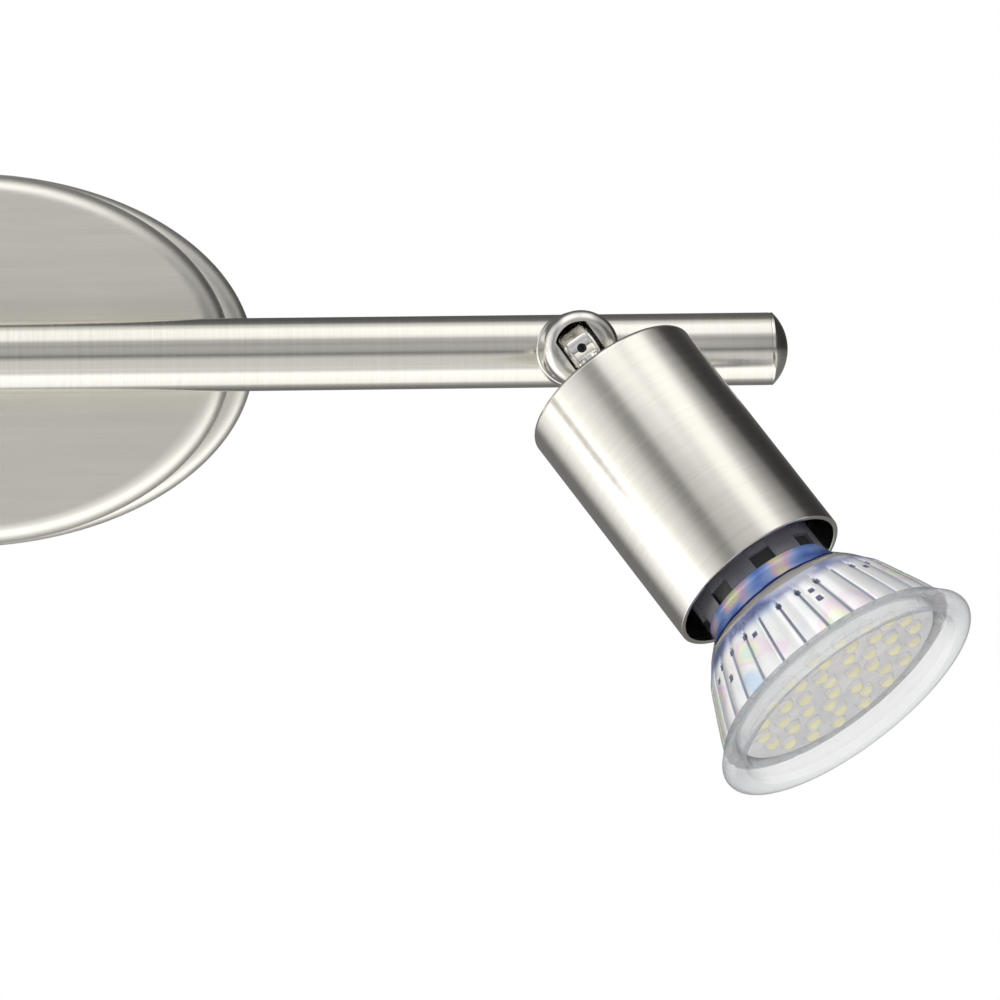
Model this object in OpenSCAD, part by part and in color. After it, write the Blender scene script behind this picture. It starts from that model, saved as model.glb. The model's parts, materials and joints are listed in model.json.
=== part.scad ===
// Two-light spot bar: oval wall plate, round bar and two swivelling lamp sleeves.
// The wall is the plane Y = 0, the light stands out towards -Y, the bar runs along X and +Z is up.
// The origin is the middle of the bracket's back face, on the wall.

/* [Bar] */
// Outside diameter of the round bar
bar_d = 12.7; // [12.4:0.1:13]
// Length of the bar's tube, without its end caps
bar_len = 281.4; // [270:0.2:320]
// Wall of the bar's tube
bar_wall = 1; // [0.8:0.1:1]
// Distance of the bar's axis from the wall
bar_out = 27.5; // [27:0.1:29]
// How far the domed end caps stand out of the tube
cap_out = 3.2; // [2:0.1:3.6]
// Distance between the two stems that hold the bar
stem_gap = 50; // [44:1:54]

/* [Wall plate] */
// Length of the oval plate
plate_len = 103.2; // [101:0.2:110]
// Height of the plate as a share of its length
plate_ratio = 0.64; // [0.63:0.01:0.68]
// Depth of the plate, from the wall to its front face
plate_depth = 15.5; // [15:0.1:16]
// Sheet thickness of the plate
plate_wall = 1.1; // [0.8:0.1:1.2]

/* [Bracket] */
// Distance between the centres of the two slotted screw holes
slot_spacing = 65; // [62:0.5:67]
// Length of each slotted hole, end to end
slot_len = 12; // [9:0.5:13]
// Width of each slotted hole
slot_w = 4.5; // [4:0.1:5]

/* [Heads] */
// Distance between the two swivels
head_spacing = 210.8; // [200:0.2:240]
// Distance of the tilt pivots from the wall
pivot_out = 50.5; // [50.5:0.1:53]
// Angle of the heads below the bar at rest, seen from the front
pan_rest = 55; // [20:1:90]
// Angle between each head and the straight-out direction at rest
tilt_rest = 64.5; // [0:0.5:90]
// Diameter of the slotted swivel knuckle
knuckle_d = 13; // [12.6:0.1:14]
// Diameter of the lamp sleeve
sleeve_d = 32.1; // [31.6:0.1:32.4]
// Length of the lamp sleeve
sleeve_len = 44.6; // [40:0.2:46]
// Wall of the lamp sleeve
sleeve_wall = 0.9; // [0.7:0.1:1]

/* [Lamp] */
// Diameter of the lamp's clear rim
lamp_d = 50; // [49:0.5:51]
// Light chips in the innermost ring
inner_chips = 3; // [1:1:4]
// Light chips that each further ring has more than the one inside it
chips_more = 5; // [2:1:5]

/* [Hidden] */
$fn = 64;

// Overshoot of a cutter, and clearance of a shaft that turns in a hole
cut = 1;
run = 0.06;

// Sides
LEFT = -1;
RIGHT = 1;

// Bar
bar_r = bar_d / 2;
bar_in_r = bar_r - bar_wall;
stem_r = 5.5;
stem_spigot_r = 4;
stem_bore_r = 2.6;
stem_end_out = 7;

cap_rim = 0.5;
plug_len = 6;
dome_h = cap_out - cap_rim;
dome_r = (bar_r * bar_r + dome_h * dome_h) / (2 * dome_h);
stem_nut_t = 4;
stem_washer_t = 0.8;

// Plate, in the half section along its length
plate_r = plate_len / 2;
flange_out = 7.8;
shoulder_r = 4.7;
inner_shoulder_r = 4.3;
step_in = 4.2;
step_r = plate_r - step_in;
step_round = 5;
step_low = 4.4;
flange_in_r = 43;
step_ratio = (plate_r * plate_ratio - 0.4) / step_r;
stem_seat = plate_depth - plate_wall;
stem_nut_seat = stem_seat - stem_washer_t;

// Bracket
strap_t = 1.5;
strap_len = 88;
strap_h = 18;
slot_reach = (slot_len - slot_w) / 2;
arm_w = 24;
arm_reach = 24;
tab_w = 10;
tab_out = 5.6;
side_screw_out = 2.7;
side_screw_r = 1.25;
tab_face = (plate_r - plate_wall) * plate_ratio - 0.8;
cable_hole_r = 6;
bush_bore_r = 4.5;
bush_flange_r = 8;
bush_flange_t = 1.5;
earth_z = -19;
earth_screw_r = 1.7;
cup_r = 3.6;
cup_t = 0.8;
lead_gap = 1.6;

// Connector
block_w = 24;
block_low = 10;
block_high = 22;
block_out = 12;
block_mid = (block_low + block_high) / 2;
block_screw_r = 0.95;
block_screw_sink = 4;
block_groove = [1.2, 2.5];
pole_gap = 8;
pole_out = 7;
pole_bore_r = 1.7;
clamp_pitch = 3;
clamp_r = 1.55;

// Swivel, along its own axis: distances outwards from the tilt pivot
tail_r = 3;
tail_bore_r = 1.8;
tail_end = 27 - pivot_out;
collar_top = 36.5;
washer_t = 0.5;
knuckle_base = collar_top + washer_t - pivot_out;
knuckle_neck_r = 4.6;
knuckle_front = 4.8;
knuckle_round = 2.2;
knuckle_r = knuckle_d / 2;
slot_half = 3.2;
slot_end_r = 4.6;
slot_floor = -4.2;
pivot_seat = 5;
pivot_head_r = 1.8;
pivot_shank_r = 1.25;
tilt_washer_r = 2.55;
nut_seat_out = 29.2;

// Arm, along the head's axis from the tilt pivot
lug_r = 3.8;
lug_half = 2.7;
lug_crown = 4.3;
lead_bore_r = 1.6;
neck_r = 2.4;
sleeve_rear = 9.2;
arm_flange_t = 1.2;
arm_flange_r = 4.5;
arm_tail_r = 3.5;
arm_tail_end = 15.5;
pivot_r = 1;
lead_screw_r = 0.8;
lead_screw_turn = 64.5;

// Sleeve and lamp holder, along the head's axis
sleeve_r = sleeve_d / 2;
sleeve_mouth = sleeve_rear + sleeve_len;
rear_wall = 1.1;
rear_round = 1;
strap_seat = sleeve_rear + rear_wall;
holder_strap_t = 1;
arm_nut_seat = strap_seat + holder_strap_t + 0.7;
holder_strap_w = 10;
strap_y = 12.5;
holder_screw_r = 1.5;
holder_screw_seat = 28.5;
holder_back = 20;
holder_face = 31.5;
holder_r = 12.6;
holder_screw_y = 8.7;
plate_back = 28.9;
cavity_back = 23.5;
pin_pitch_r = 5;
pin_head = plate_back - 0.3;
twist = 25;
twist_half = pin_pitch_r * sin(twist / 2);

// Lamp, along the head's axis
base_back = 31.8;
base_step = 35.5;
base_r = 11.9;
base_boss_r = 9.8;
base_notches = 8;
notch_turn = -8;
notch = [4, 2.6, 0.9];
glass_back = 56.4;
glass_front = 76;
glass_wall = 1.6;
board_back = 75;
board_t = 1.2;
board_r = 19.7;
bead_r = 1.6;
bead_s = 79.1;
front_in_r = 20.2;
cover_t = 0.9;
chip_r = 1.5;
chip_h = 1.5;
ring_first = 3;
ring_step = 4.2;
rings = 4;
ring_turn = 20;

// Outside of the clear body: distance along the axis, radius
glass_line = [[glass_back, 12.3], [58.4, 12.9], [60, 14.2], [62, 16], [65, 17.9], [68.4, 19.5],
              [73.5, 21.8], [glass_front, 22.8]];

// Leads: radius and sides of the swept tube
lead_r = 0.7;
lead_sides = 8;
lead_off = 0.8;

// Frame changes: each draws its children in the frame named
module outward() rotate([90, 0, 0]) children();
module at_swivel(side)
    translate([side * head_spacing / 2, -pivot_out, 0])
        rotate([0, -side * (90 - pan_rest), 0])
            outward() children();
module at_head(side) at_swivel(side) rotate([tilt_rest, 0, 0]) children();
module children_on(side) mirror([side == LEFT ? 1 : 0, 0, 0]) children();

// Basic shapes
module ring(r_out, r_in, low, high)
    difference() {
        translate([0, 0, low]) cylinder(r = r_out, h = high - low);
        translate([0, 0, low - cut]) cylinder(r = r_in, h = high - low + 2 * cut);
    }
module rod(r, low, high) translate([0, 0, low]) cylinder(r = r, h = high - low);
module box(x, y, z)
    translate([x[0], y[0], z[0]]) cube([x[1] - x[0], y[1] - y[0], z[1] - z[0]]);
module hex_nut(flats, bore_r, low, high)
    difference() {
        translate([0, 0, low]) cylinder(r = flats / sqrt(3), h = high - low, $fn = 6);
        rod(bore_r, low - cut, high + cut);
    }
// A slotted pan-head screw: the head's seat is at z = 0 and the shank runs towards -Z
module screw(shank_r, shank_len, head_r, head_t)
    difference() {
        union() {
            rod(shank_r, -shank_len, 0);
            rod(head_r, 0, head_t);
        }
        box([-head_r - cut, head_r + cut], [-0.3, 0.3], [head_t * 0.55, head_t + cut]);
    }

// A tube swept along hand-set points, with rings carried from one point to the next without twist
function unit(v) = v / norm(v);
function along(p, i) = unit(p[min(i + 1, len(p) - 1)] - p[max(i - 1, 0)]);
function across(v, t) = unit(v - (v * t) * t);
function carried(p, i) = i == 0
    ? across(abs(along(p, 0).x) > 0.9 ? [0, 1, 0] : [1, 0, 0], along(p, 0))
    : across(carried(p, i - 1), along(p, i));
module swept(p, r)
    let (
        n = lead_sides,
        rings = [for (i = [0:len(p) - 1])
            let (u = carried(p, i), v = cross(along(p, i), u))
            for (k = [0:n - 1]) p[i] + r * (cos(360 * k / n) * u + sin(360 * k / n) * v)],
        walls = [for (i = [0:len(p) - 2], k = [0:n - 1])
            [i * n + k, i * n + (k + 1) % n, (i + 1) * n + (k + 1) % n, (i + 1) * n + k]],
        first = [for (k = [0:n - 1]) n - 1 - k],
        last = [for (k = [0:n - 1]) (len(p) - 1) * n + k]
    )
    polyhedron(points = rings, faces = concat([first], walls, [last]));

// ---------------------------------------------------------------- wall plate and its fixings

module strap_slot(x)
    translate([x, 0, 0])
        outward() {
            for (dx = [-1, 1])
                translate([dx * slot_reach, 0, 0]) rod(slot_w / 2, -cut, strap_t + cut);
            box([-slot_reach, slot_reach], [-slot_w / 2, slot_w / 2], [-cut, strap_t + cut]);
        }

module mounting_bracket()
    color("gainsboro")
    difference() {
        union() {
            box([-strap_len / 2, strap_len / 2], [-strap_t, 0], [-strap_h / 2, strap_h / 2]);
            box([-arm_w / 2, arm_w / 2], [-strap_t, 0], [-arm_reach, arm_reach]);
            box([-tab_w / 2, tab_w / 2], [-strap_t, 0], [-tab_face, tab_face]);
            for (z = [-1, 1])
                box([-tab_w / 2, tab_w / 2], [-tab_out, 0],
                    z > 0 ? [tab_face - strap_t, tab_face] : [-tab_face, strap_t - tab_face]);
        }
        for (x = [-1, 1]) strap_slot(x * slot_spacing / 2);
        outward() rod(cable_hole_r, -cut, strap_t + cut);
        for (z = [-1, 1])
            translate([0, -side_screw_out, z * (tab_face - strap_t / 2)])
                cylinder(r = side_screw_r, h = strap_t + cut, center = true);
        translate([0, 0, earth_z]) outward() rod(earth_screw_r, -cut, strap_t + cut);
        for (x = [-1, 1])
            translate([x * pole_gap / 2, 0, block_mid])
                outward() rod(block_screw_r + run, -cut, strap_t + cut);
    }

module cable_bush()
    color("black")
    outward() {
        difference() {
            union() {
                rod(cable_hole_r, 0, strap_t);
                rod(bush_flange_r, strap_t, strap_t + bush_flange_t);
            }
            rod(bush_bore_r, -cut, strap_t + bush_flange_t + cut);
        }
    }

// Screw and cup washer for the earth lead
module earth_terminal()
    color("goldenrod")
    translate([0, 0, earth_z])
        outward() {
            ring(cup_r, earth_screw_r + run, strap_t, strap_t + cup_t);
            translate([0, 0, strap_t + cup_t + lead_gap]) screw(earth_screw_r, 4.6, 3.2, 2);
        }

module terminal_block()
    color("white")
    difference() {
        box([-block_w / 2, block_w / 2], [-block_out, -strap_t], [block_low, block_high]);
        for (x = [-pole_gap / 2, pole_gap / 2])
            box([x - block_groove[0] / 2, x + block_groove[0] / 2],
                [-block_out - cut, block_groove[1] - block_out], [block_low - cut, block_high + cut]);
        for (x = [-pole_gap, 0, pole_gap]) {
            translate([x, -pole_out, 0]) rod(pole_bore_r, block_low - cut, block_high + cut);
            for (z = [-clamp_pitch, clamp_pitch])
                translate([x, 0, block_mid + z]) outward() rod(clamp_r + 0.1, pole_out, block_out + cut);
        }
        for (x = [-1, 1])
            translate([x * pole_gap / 2, 0, block_mid])
                outward() {
                    rod(block_screw_r + run, 0, block_out + cut);
                    rod(2 * block_screw_r, block_out - block_screw_sink, block_out + cut);
                }
    }

// Six clamping screws and the two that hold the connector
module terminal_screws()
    color("silver") {
        for (x = [-pole_gap, 0, pole_gap], z = [-clamp_pitch, clamp_pitch])
            translate([x, 0, block_mid + z])
                outward() translate([0, 0, block_out - 2.4]) screw(1.3, 1.6, clamp_r, 1.2);
        for (x = [-1, 1])
            translate([x * pole_gap / 2, 0, block_mid])
                outward() translate([0, 0, block_out - block_screw_sink]) screw(block_screw_r, 7.6, 1.8, 1.4);
    }

// Half section of a sheet that bends over a rounded edge, open behind and cut off at the radius from
module sheet_section(r, from, low, high, outer_round, inner_round)
    difference() {
        union() {
            translate([from, low]) square([r - from, high - outer_round - low]);
            translate([from, low]) square([r - outer_round - from, high - low]);
            translate([r - outer_round, high - outer_round]) circle(r = outer_round);
        }
        translate([from - cut, low - cut])
            square([r - plate_wall - from + cut, high - plate_wall - inner_round - low + cut]);
        translate([from - cut, low - cut])
            square([r - plate_wall - inner_round - from + cut, high - plate_wall - low + cut]);
        translate([r - plate_wall - inner_round, high - plate_wall - inner_round]) circle(r = inner_round);
    }

// An oval pressing is a round one made shorter along Z
module oval(ratio) outward() scale([1, ratio, 1]) rotate_extrude($fn = 240) children();

// The low flange and, in it, the tall plate with a soft edge
module plate_shell() {
    oval(plate_ratio) sheet_section(plate_r, flange_in_r, 0, flange_out, shoulder_r, inner_shoulder_r);
    oval(step_ratio) sheet_section(step_r, 0, step_low, plate_depth, step_round, step_round - plate_wall);
}

module canopy_cover()
    color("silver")
    difference() {
        plate_shell();
        for (x = [-1, 1])
            translate([x * stem_gap / 2, 0, 0]) outward() rod(stem_spigot_r, stem_end_out, plate_depth + cut);
        for (z = [-1, 1])
            translate([0, -side_screw_out, z * plate_r * plate_ratio])
                cylinder(r = side_screw_r + 0.25, h = 6, center = true);
    }

module canopy_side_screws()
    color("silver")
    for (z = [0, 1])
        mirror([0, 0, z])
            translate([0, -side_screw_out, plate_r * plate_ratio + 0.05]) screw(side_screw_r, 4, 2.4, 1.6);

// ---------------------------------------------------------------- bar

module bar_stems()
    color("silver")
    for (x = [-1, 1])
        difference() {
            translate([x * stem_gap / 2, 0, 0])
                outward() {
                    rod(stem_r, plate_depth, bar_out);
                    rod(stem_spigot_r, stem_end_out, plate_depth);
                }
            translate([x * stem_gap / 2, 0, 0]) outward() rod(stem_bore_r, 0, bar_out + cut);
            translate([0, -bar_out, 0]) rotate([0, 90, 0]) cylinder(r = bar_r, h = bar_len, center = true);
        }

module stem_washers()
    color("lightgray")
    for (x = [-1, 1])
        translate([x * stem_gap / 2, 0, 0])
            outward() ring(6.6, stem_spigot_r, stem_nut_seat, stem_seat);

module stem_nuts()
    color("lightgray")
    for (x = [-1, 1])
        translate([x * stem_gap / 2, 0, 0])
            outward() hex_nut(13, stem_spigot_r, stem_nut_seat - stem_nut_t, stem_nut_seat);

module along_bar() translate([0, -bar_out, 0]) rotate([0, 90, 0]) children();

module bar_tube()
    color("silver")
    difference() {
        along_bar() cylinder(r = bar_r, h = bar_len, center = true);
        along_bar() cylinder(r = bar_in_r, h = bar_len + 2 * cut, center = true);
        for (x = [-1, 1]) {
            translate([x * stem_gap / 2, 0, 0]) outward() rod(stem_bore_r, 0, bar_out);
            translate([x * head_spacing / 2, 0, 0]) outward() rod(tail_r + run, bar_out, pivot_out);
        }
    }

// Cap with a low rim, a dome and a plug that fits in the tube; drawn at the bar's +X end
module end_cap()
    along_bar()
        rotate_extrude()
            union() {
                translate([0, bar_len / 2]) square([bar_r, cap_rim]);
                intersection() {
                    translate([0, bar_len / 2 + cap_out - dome_r]) circle(r = dome_r);
                    translate([0, bar_len / 2]) square([bar_r, cap_out]);
                }
                translate([0, bar_len / 2 - plug_len]) square([bar_in_r, plug_len]);
            }

module end_cap_left() color("silver") children_on(LEFT) end_cap();
module end_cap_right() color("silver") children_on(RIGHT) end_cap();

module swivel_collars()
    color("silver")
    for (x = [-1, 1])
        difference() {
            translate([x * head_spacing / 2, 0, 0])
                outward() ring(bar_r - 0.05, tail_r + run, bar_out, collar_top);
            along_bar() cylinder(r = bar_r, h = bar_len, center = true);
        }

// Half-round spacers that give the swivel nuts a flat seat inside the tube
module saddle_bushes()
    color("lightgray")
    for (x = [-1, 1])
        difference() {
            intersection() {
                along_bar() cylinder(r = bar_in_r - 0.05, h = bar_len, center = true);
                box([x * head_spacing / 2 - 6, x * head_spacing / 2 + 6], [-bar_out - bar_r, -nut_seat_out],
                    [-bar_r, bar_r]);
            }
            translate([x * head_spacing / 2, 0, 0])
                outward() rod(tail_r + run, nut_seat_out - cut, pivot_out);
        }

// ---------------------------------------------------------------- leads inside the plate and the bar

// From the connector's pole through the stem, along the bar and into the swivel's tail.
// level is how far from the wall the lead crosses the plate, z its height inside the bar.
function lead_route(side, pole, level, z) =
    let (stem_x = side * stem_gap / 2, head_x = side * head_spacing / 2, inside = bar_out - 2.9)
    concat(
        [[pole + side * lead_off, -pole_out, block_mid - 3],
         [pole + side * lead_off, -pole_out, block_low - 1]],
        side * pole > 0
            ? [[pole + side * 2, -level, 5]]
            : [[pole + side * 4, -level, 5], [0, -level, 3 * sign(z) + 1]],
        [[side * 16, -level, z + 0.6 * sign(z)], [stem_x - side * 2, -5, z], [stem_x, -7.5, z],
         [stem_x, 3.1 - inside, z], [stem_x + side, 1 - inside, z], [stem_x + side * 4, -inside, z],
         [head_x - side * 3, -inside, z], [head_x - side * 0.8, -inside - 0.9, z],
         [head_x, -inside - 3.4, z], [head_x, -45, z]]);

module live_wires()
    color("saddlebrown")
    for (side = [LEFT, RIGHT]) swept(lead_route(side, pole_gap, 8.5, lead_off), lead_r);

module neutral_wires()
    color("royalblue")
    for (side = [LEFT, RIGHT]) swept(lead_route(side, -pole_gap, 4.8, -lead_off), lead_r);

module earth_wire()
    color("limegreen")
    swept([[0, -pole_out, block_mid - 3], [0, -pole_out, block_low - 0.5], [0, -10.6, 6], [0, -10.6, -8],
           [0, -6.5, -13], [0, -3.1, earth_z + 3.5], [0, -3.1, earth_z + 2.4]], lead_r);

// ---------------------------------------------------------------- swivels

module pan_washer(side)
    color("dimgray") at_swivel(side)
        ring(knuckle_neck_r, tail_r, collar_top + 0.05 - pivot_out, knuckle_base);

module knuckle_section() {
    translate([0, tail_end]) square([tail_r, -tail_end]);
    translate([0, knuckle_base]) square([knuckle_neck_r, -knuckle_base]);
    polygon([[0, knuckle_base + 3.5], [knuckle_neck_r, knuckle_base + 3.5], [knuckle_r, knuckle_base + 7],
             [knuckle_r, knuckle_front - knuckle_round], [0, knuckle_front - knuckle_round]]);
    square([knuckle_r - knuckle_round, knuckle_front]);
    intersection() {
        translate([knuckle_r - knuckle_round, knuckle_front - knuckle_round]) circle(r = knuckle_round);
        square([knuckle_d, knuckle_front + cut]);
    }
}

module swivel_knuckle(side)
    color("silver") at_swivel(side)
    difference() {
        rotate_extrude() knuckle_section();
        intersection() {
            rod(slot_end_r, slot_floor, knuckle_front + cut);
            box([-slot_half, slot_half], [-knuckle_d, knuckle_d], [slot_floor, knuckle_front + cut]);
        }
        box([-slot_half, slot_half], [-knuckle_d, 0], [slot_floor, knuckle_front + cut]);
        rod(tail_bore_r, tail_end - cut, 0);
        rotate([0, 90, 0]) cylinder(r = pivot_shank_r, h = knuckle_d + cut, center = true);
        for (x = [-1, 1])
            translate([x * pivot_seat, 0, 0]) rotate([0, 90 * x, 0]) rod(pivot_head_r + 0.1, 0, knuckle_r);
    }

module swivel_nut(side)
    color("lightgray") at_swivel(side)
        hex_nut(8, tail_r, tail_end + 0.1, nut_seat_out - run - pivot_out);

// Two stub screws whose spigots carry the arm
module pivot_screws(side)
    color("silver") at_swivel(side)
    for (x = [-1, 1])
        translate([x * pivot_seat, 0, 0])
            rotate([0, 90 * x, 0]) {
                screw(pivot_shank_r, pivot_seat - slot_half, pivot_head_r, 1);
                rod(pivot_r, 1.75 - pivot_seat, slot_half - pivot_seat + 0.01);
            }

module tilt_washers(side)
    color("dimgray") at_swivel(side)
    for (x = [-1, 1])
        rotate([0, 90 * x, 0]) ring(tilt_washer_r, pivot_r + run, lug_half + 0.02, slot_half - 0.02);

module lamp_arm(side)
    color("gainsboro") at_head(side)
    difference() {
        union() {
            rotate([0, 90, 0]) rotate_extrude()
                intersection() {
                    translate([0, -lug_half]) square([lug_r, 2 * lug_half]);
                    circle(r = lug_crown);
                }
            rod(neck_r, 1, sleeve_rear);
            rod(arm_flange_r, sleeve_rear - arm_flange_t, sleeve_rear);
            rod(arm_tail_r, sleeve_rear, arm_tail_end);
        }
        rod(lead_bore_r, -lug_crown, arm_tail_end + cut);
        for (x = [-1, 1])
            rotate([0, 90 * x, 0]) rod(pivot_r + run, 1.2, lug_crown);
        rotate([-lead_screw_turn, 0, 0]) rod(lead_screw_r, 1.3, lug_crown);
    }

module lead_screw(side)
    color("black") at_head(side)
    rotate([-lead_screw_turn, 0, 0])
        difference() {
            rod(lead_screw_r, 1.75, 3.5);
            translate([0, 0, 2.7]) cylinder(r = 0.5, h = 2, $fn = 6);
        }

module arm_washer(side)
    color("lightgray") at_head(side)
        ring(6, arm_tail_r, strap_seat + holder_strap_t, arm_nut_seat);

module arm_nut(side)
    color("lightgray") at_head(side)
        hex_nut(11, arm_tail_r, arm_nut_seat, arm_nut_seat + 3);

// ---------------------------------------------------------------- sleeves and lamp holders

module lamp_sleeve(side)
    color("silver") at_head(side)
    rotate_extrude()
        difference() {
            union() {
                translate([0, sleeve_rear]) square([sleeve_r - rear_round, sleeve_len]);
                translate([0, sleeve_rear + rear_round]) square([sleeve_r, sleeve_len - rear_round]);
                translate([sleeve_r - rear_round, sleeve_rear + rear_round]) circle(r = rear_round);
            }
            translate([0, strap_seat]) square([sleeve_r - sleeve_wall, sleeve_len]);
            translate([0, sleeve_rear - cut]) square([arm_tail_r, 2 * cut + rear_wall]);
        }

module holder_bracket(side)
    color("lightgray") at_head(side)
    let (strap_x = [-holder_strap_w / 2, holder_strap_w / 2])
    difference() {
        union() {
            for (turn = [0, 180])
                rotate([0, 0, turn]) {
                    box(strap_x, [0, strap_y], [strap_seat, strap_seat + holder_strap_t]);
                    box(strap_x, [strap_y - holder_strap_t, strap_y], [strap_seat, holder_back]);
                    box(strap_x, [6, strap_y], [holder_back - holder_strap_t, holder_back]);
                }
        }
        rod(arm_tail_r, strap_seat - cut, strap_seat + 2 * cut);
        for (y = [-1, 1])
            translate([0, y * holder_screw_y, 0])
                rod(holder_screw_r, holder_back - 2 * cut, holder_back + cut);
    }

// Channel that a pin follows while the lamp is twisted, straight between its two ends
module twist_channel(half_w, low, high)
    for (turn = [0, 180])
        rotate([0, 0, turn + twist / 2]) {
            translate([pin_pitch_r * cos(twist / 2), 0, 0])
                box([-half_w, half_w], [-twist_half, twist_half], [low, high]);
            for (y = [-twist_half, twist_half])
                translate([pin_pitch_r * cos(twist / 2), y, 0]) rod(half_w, low, high);
        }

module lamp_holder(side)
    color("ivory") at_head(side)
    difference() {
        rod(holder_r, holder_back, holder_face);
        twist_channel(1.9, plate_back - cut, holder_face + cut);
        twist_channel(2.9, cavity_back, plate_back);
        for (turn = [0, 180])
            rotate([0, 0, turn + twist])
                translate([pin_pitch_r, 0, 0]) rod(2.8, plate_back - cut, holder_face + cut);
        for (x = [-1, 1]) translate([x * pin_pitch_r, 0, 0]) rod(1, holder_back - cut, cavity_back + cut);
        for (y = [-1, 1])
            translate([0, y * holder_screw_y, 0]) {
                rod(holder_screw_r + 0.1, holder_back - cut, holder_face + cut);
                rod(2 * holder_screw_r, holder_screw_seat, holder_face + cut);
            }
    }

module holder_screws(side)
    color("silver") at_head(side)
    for (y = [-1, 1])
        translate([0, y * holder_screw_y, holder_screw_seat]) screw(holder_screw_r, 11, 2.8, 1.7);

module lamp_leads(side)
    color("white") at_head(side)
    for (x = [-1, 1])
        swept([[x * 0.75, 0, -1.6], [x * 0.75, 0, arm_tail_end + 0.6], [x * 1.5, 0, arm_tail_end + 1.7],
               [x * 3.8, 0, 18.4], [x * pin_pitch_r, 0, holder_back], [x * pin_pitch_r, 0, 22.5]], lead_r);

// ---------------------------------------------------------------- lamps

module lamp_base(side)
    color("slategray") at_head(side)
    difference() {
        union() {
            rod(base_boss_r, base_back, base_step);
            rod(base_r, base_step, glass_back);
        }
        for (k = [0:base_notches - 1])
            rotate([0, 0, 360 / base_notches * k + notch_turn])
                box([base_r - notch[2], base_r + cut], [-notch[0] / 2, notch[0] / 2],
                    [glass_back - notch[1], glass_back + cut]);
    }

module lamp_pins(side)
    color("silver") at_head(side)
    for (x = [-1, 1])
        translate([x * pin_pitch_r, 0, 0]) {
            rod(1.5, pin_head, base_back);
            rod(2.45, pin_head - 2.6, pin_head);
        }

module lamp_reflector(side)
    color("white") at_head(side)
    rotate_extrude()
        polygon(concat(
            [for (q = glass_line) [q[1], q[0]]],
            [for (i = [len(glass_line) - 1:-1:0]) [glass_line[i][1] - glass_wall, glass_line[i][0]]]));

module lamp_front(side)
    color("lightcyan") at_head(side)
    rotate_extrude()
        union() {
            translate([lamp_d / 2 - bead_r, bead_s]) circle(r = bead_r);
            polygon([[front_in_r, board_back], [20.6, board_back], [20.6, glass_front], [22.8, glass_front],
                     [lamp_d / 2 - 0.6, bead_s - 1], [lamp_d / 2 - bead_r, bead_s + bead_r],
                     [21, bead_s + 1.2]]);
            translate([0, bead_s - 0.6]) square([21, cover_t]);
        }

module led_board(side)
    color("whitesmoke") at_head(side) rod(board_r, board_back, board_back + board_t);

module led_chips(side)
    color("khaki") at_head(side)
    for (j = [0:rings - 1], k = [0:inner_chips + chips_more * j - 1])
        rotate([0, 0, 360 * k / (inner_chips + chips_more * j) + ring_turn * j])
            translate([ring_first + ring_step * j, 0, 0])
                rod(chip_r, board_back + board_t, board_back + board_t + chip_h);

// ---------------------------------------------------------------- nodes

mounting_bracket();
cable_bush();
earth_terminal();
terminal_block();
terminal_screws();
canopy_cover();
canopy_side_screws();
bar_stems();
stem_washers();
stem_nuts();
bar_tube();
end_cap_left();
end_cap_right();
swivel_collars();
saddle_bushes();
live_wires();
neutral_wires();
earth_wire();
pan_washer(LEFT);  // pan_washer_left
swivel_knuckle(LEFT);  // swivel_knuckle_left
swivel_nut(LEFT);  // swivel_nut_left
pivot_screws(LEFT);  // pivot_screws_left
tilt_washers(LEFT);  // tilt_washers_left
lamp_arm(LEFT);  // lamp_arm_left
lead_screw(LEFT);  // lead_screw_left
arm_washer(LEFT);  // arm_washer_left
arm_nut(LEFT);  // arm_nut_left
lamp_sleeve(LEFT);  // lamp_sleeve_left
holder_bracket(LEFT);  // holder_bracket_left
lamp_holder(LEFT);  // lamp_holder_left
holder_screws(LEFT);  // holder_screws_left
lamp_leads(LEFT);  // lamp_leads_left
lamp_base(LEFT);  // lamp_base_left
lamp_pins(LEFT);  // lamp_pins_left
lamp_reflector(LEFT);  // lamp_reflector_left
lamp_front(LEFT);  // lamp_front_left
led_board(LEFT);  // led_board_left
led_chips(LEFT);  // led_chips_left
pan_washer(RIGHT);  // pan_washer_right
swivel_knuckle(RIGHT);  // swivel_knuckle_right
swivel_nut(RIGHT);  // swivel_nut_right
pivot_screws(RIGHT);  // pivot_screws_right
tilt_washers(RIGHT);  // tilt_washers_right
lamp_arm(RIGHT);  // lamp_arm_right
lead_screw(RIGHT);  // lead_screw_right
arm_washer(RIGHT);  // arm_washer_right
arm_nut(RIGHT);  // arm_nut_right
lamp_sleeve(RIGHT);  // lamp_sleeve_right
holder_bracket(RIGHT);  // holder_bracket_right
lamp_holder(RIGHT);  // lamp_holder_right
holder_screws(RIGHT);  // holder_screws_right
lamp_leads(RIGHT);  // lamp_leads_right
lamp_base(RIGHT);  // lamp_base_right
lamp_pins(RIGHT);  // lamp_pins_right
lamp_reflector(RIGHT);  // lamp_reflector_right
lamp_front(RIGHT);  // lamp_front_right
led_board(RIGHT);  // led_board_right
led_chips(RIGHT);  // led_chips_right
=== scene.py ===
import json
import math

import bmesh
import bpy
from mathutils import Matrix, Vector


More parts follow.
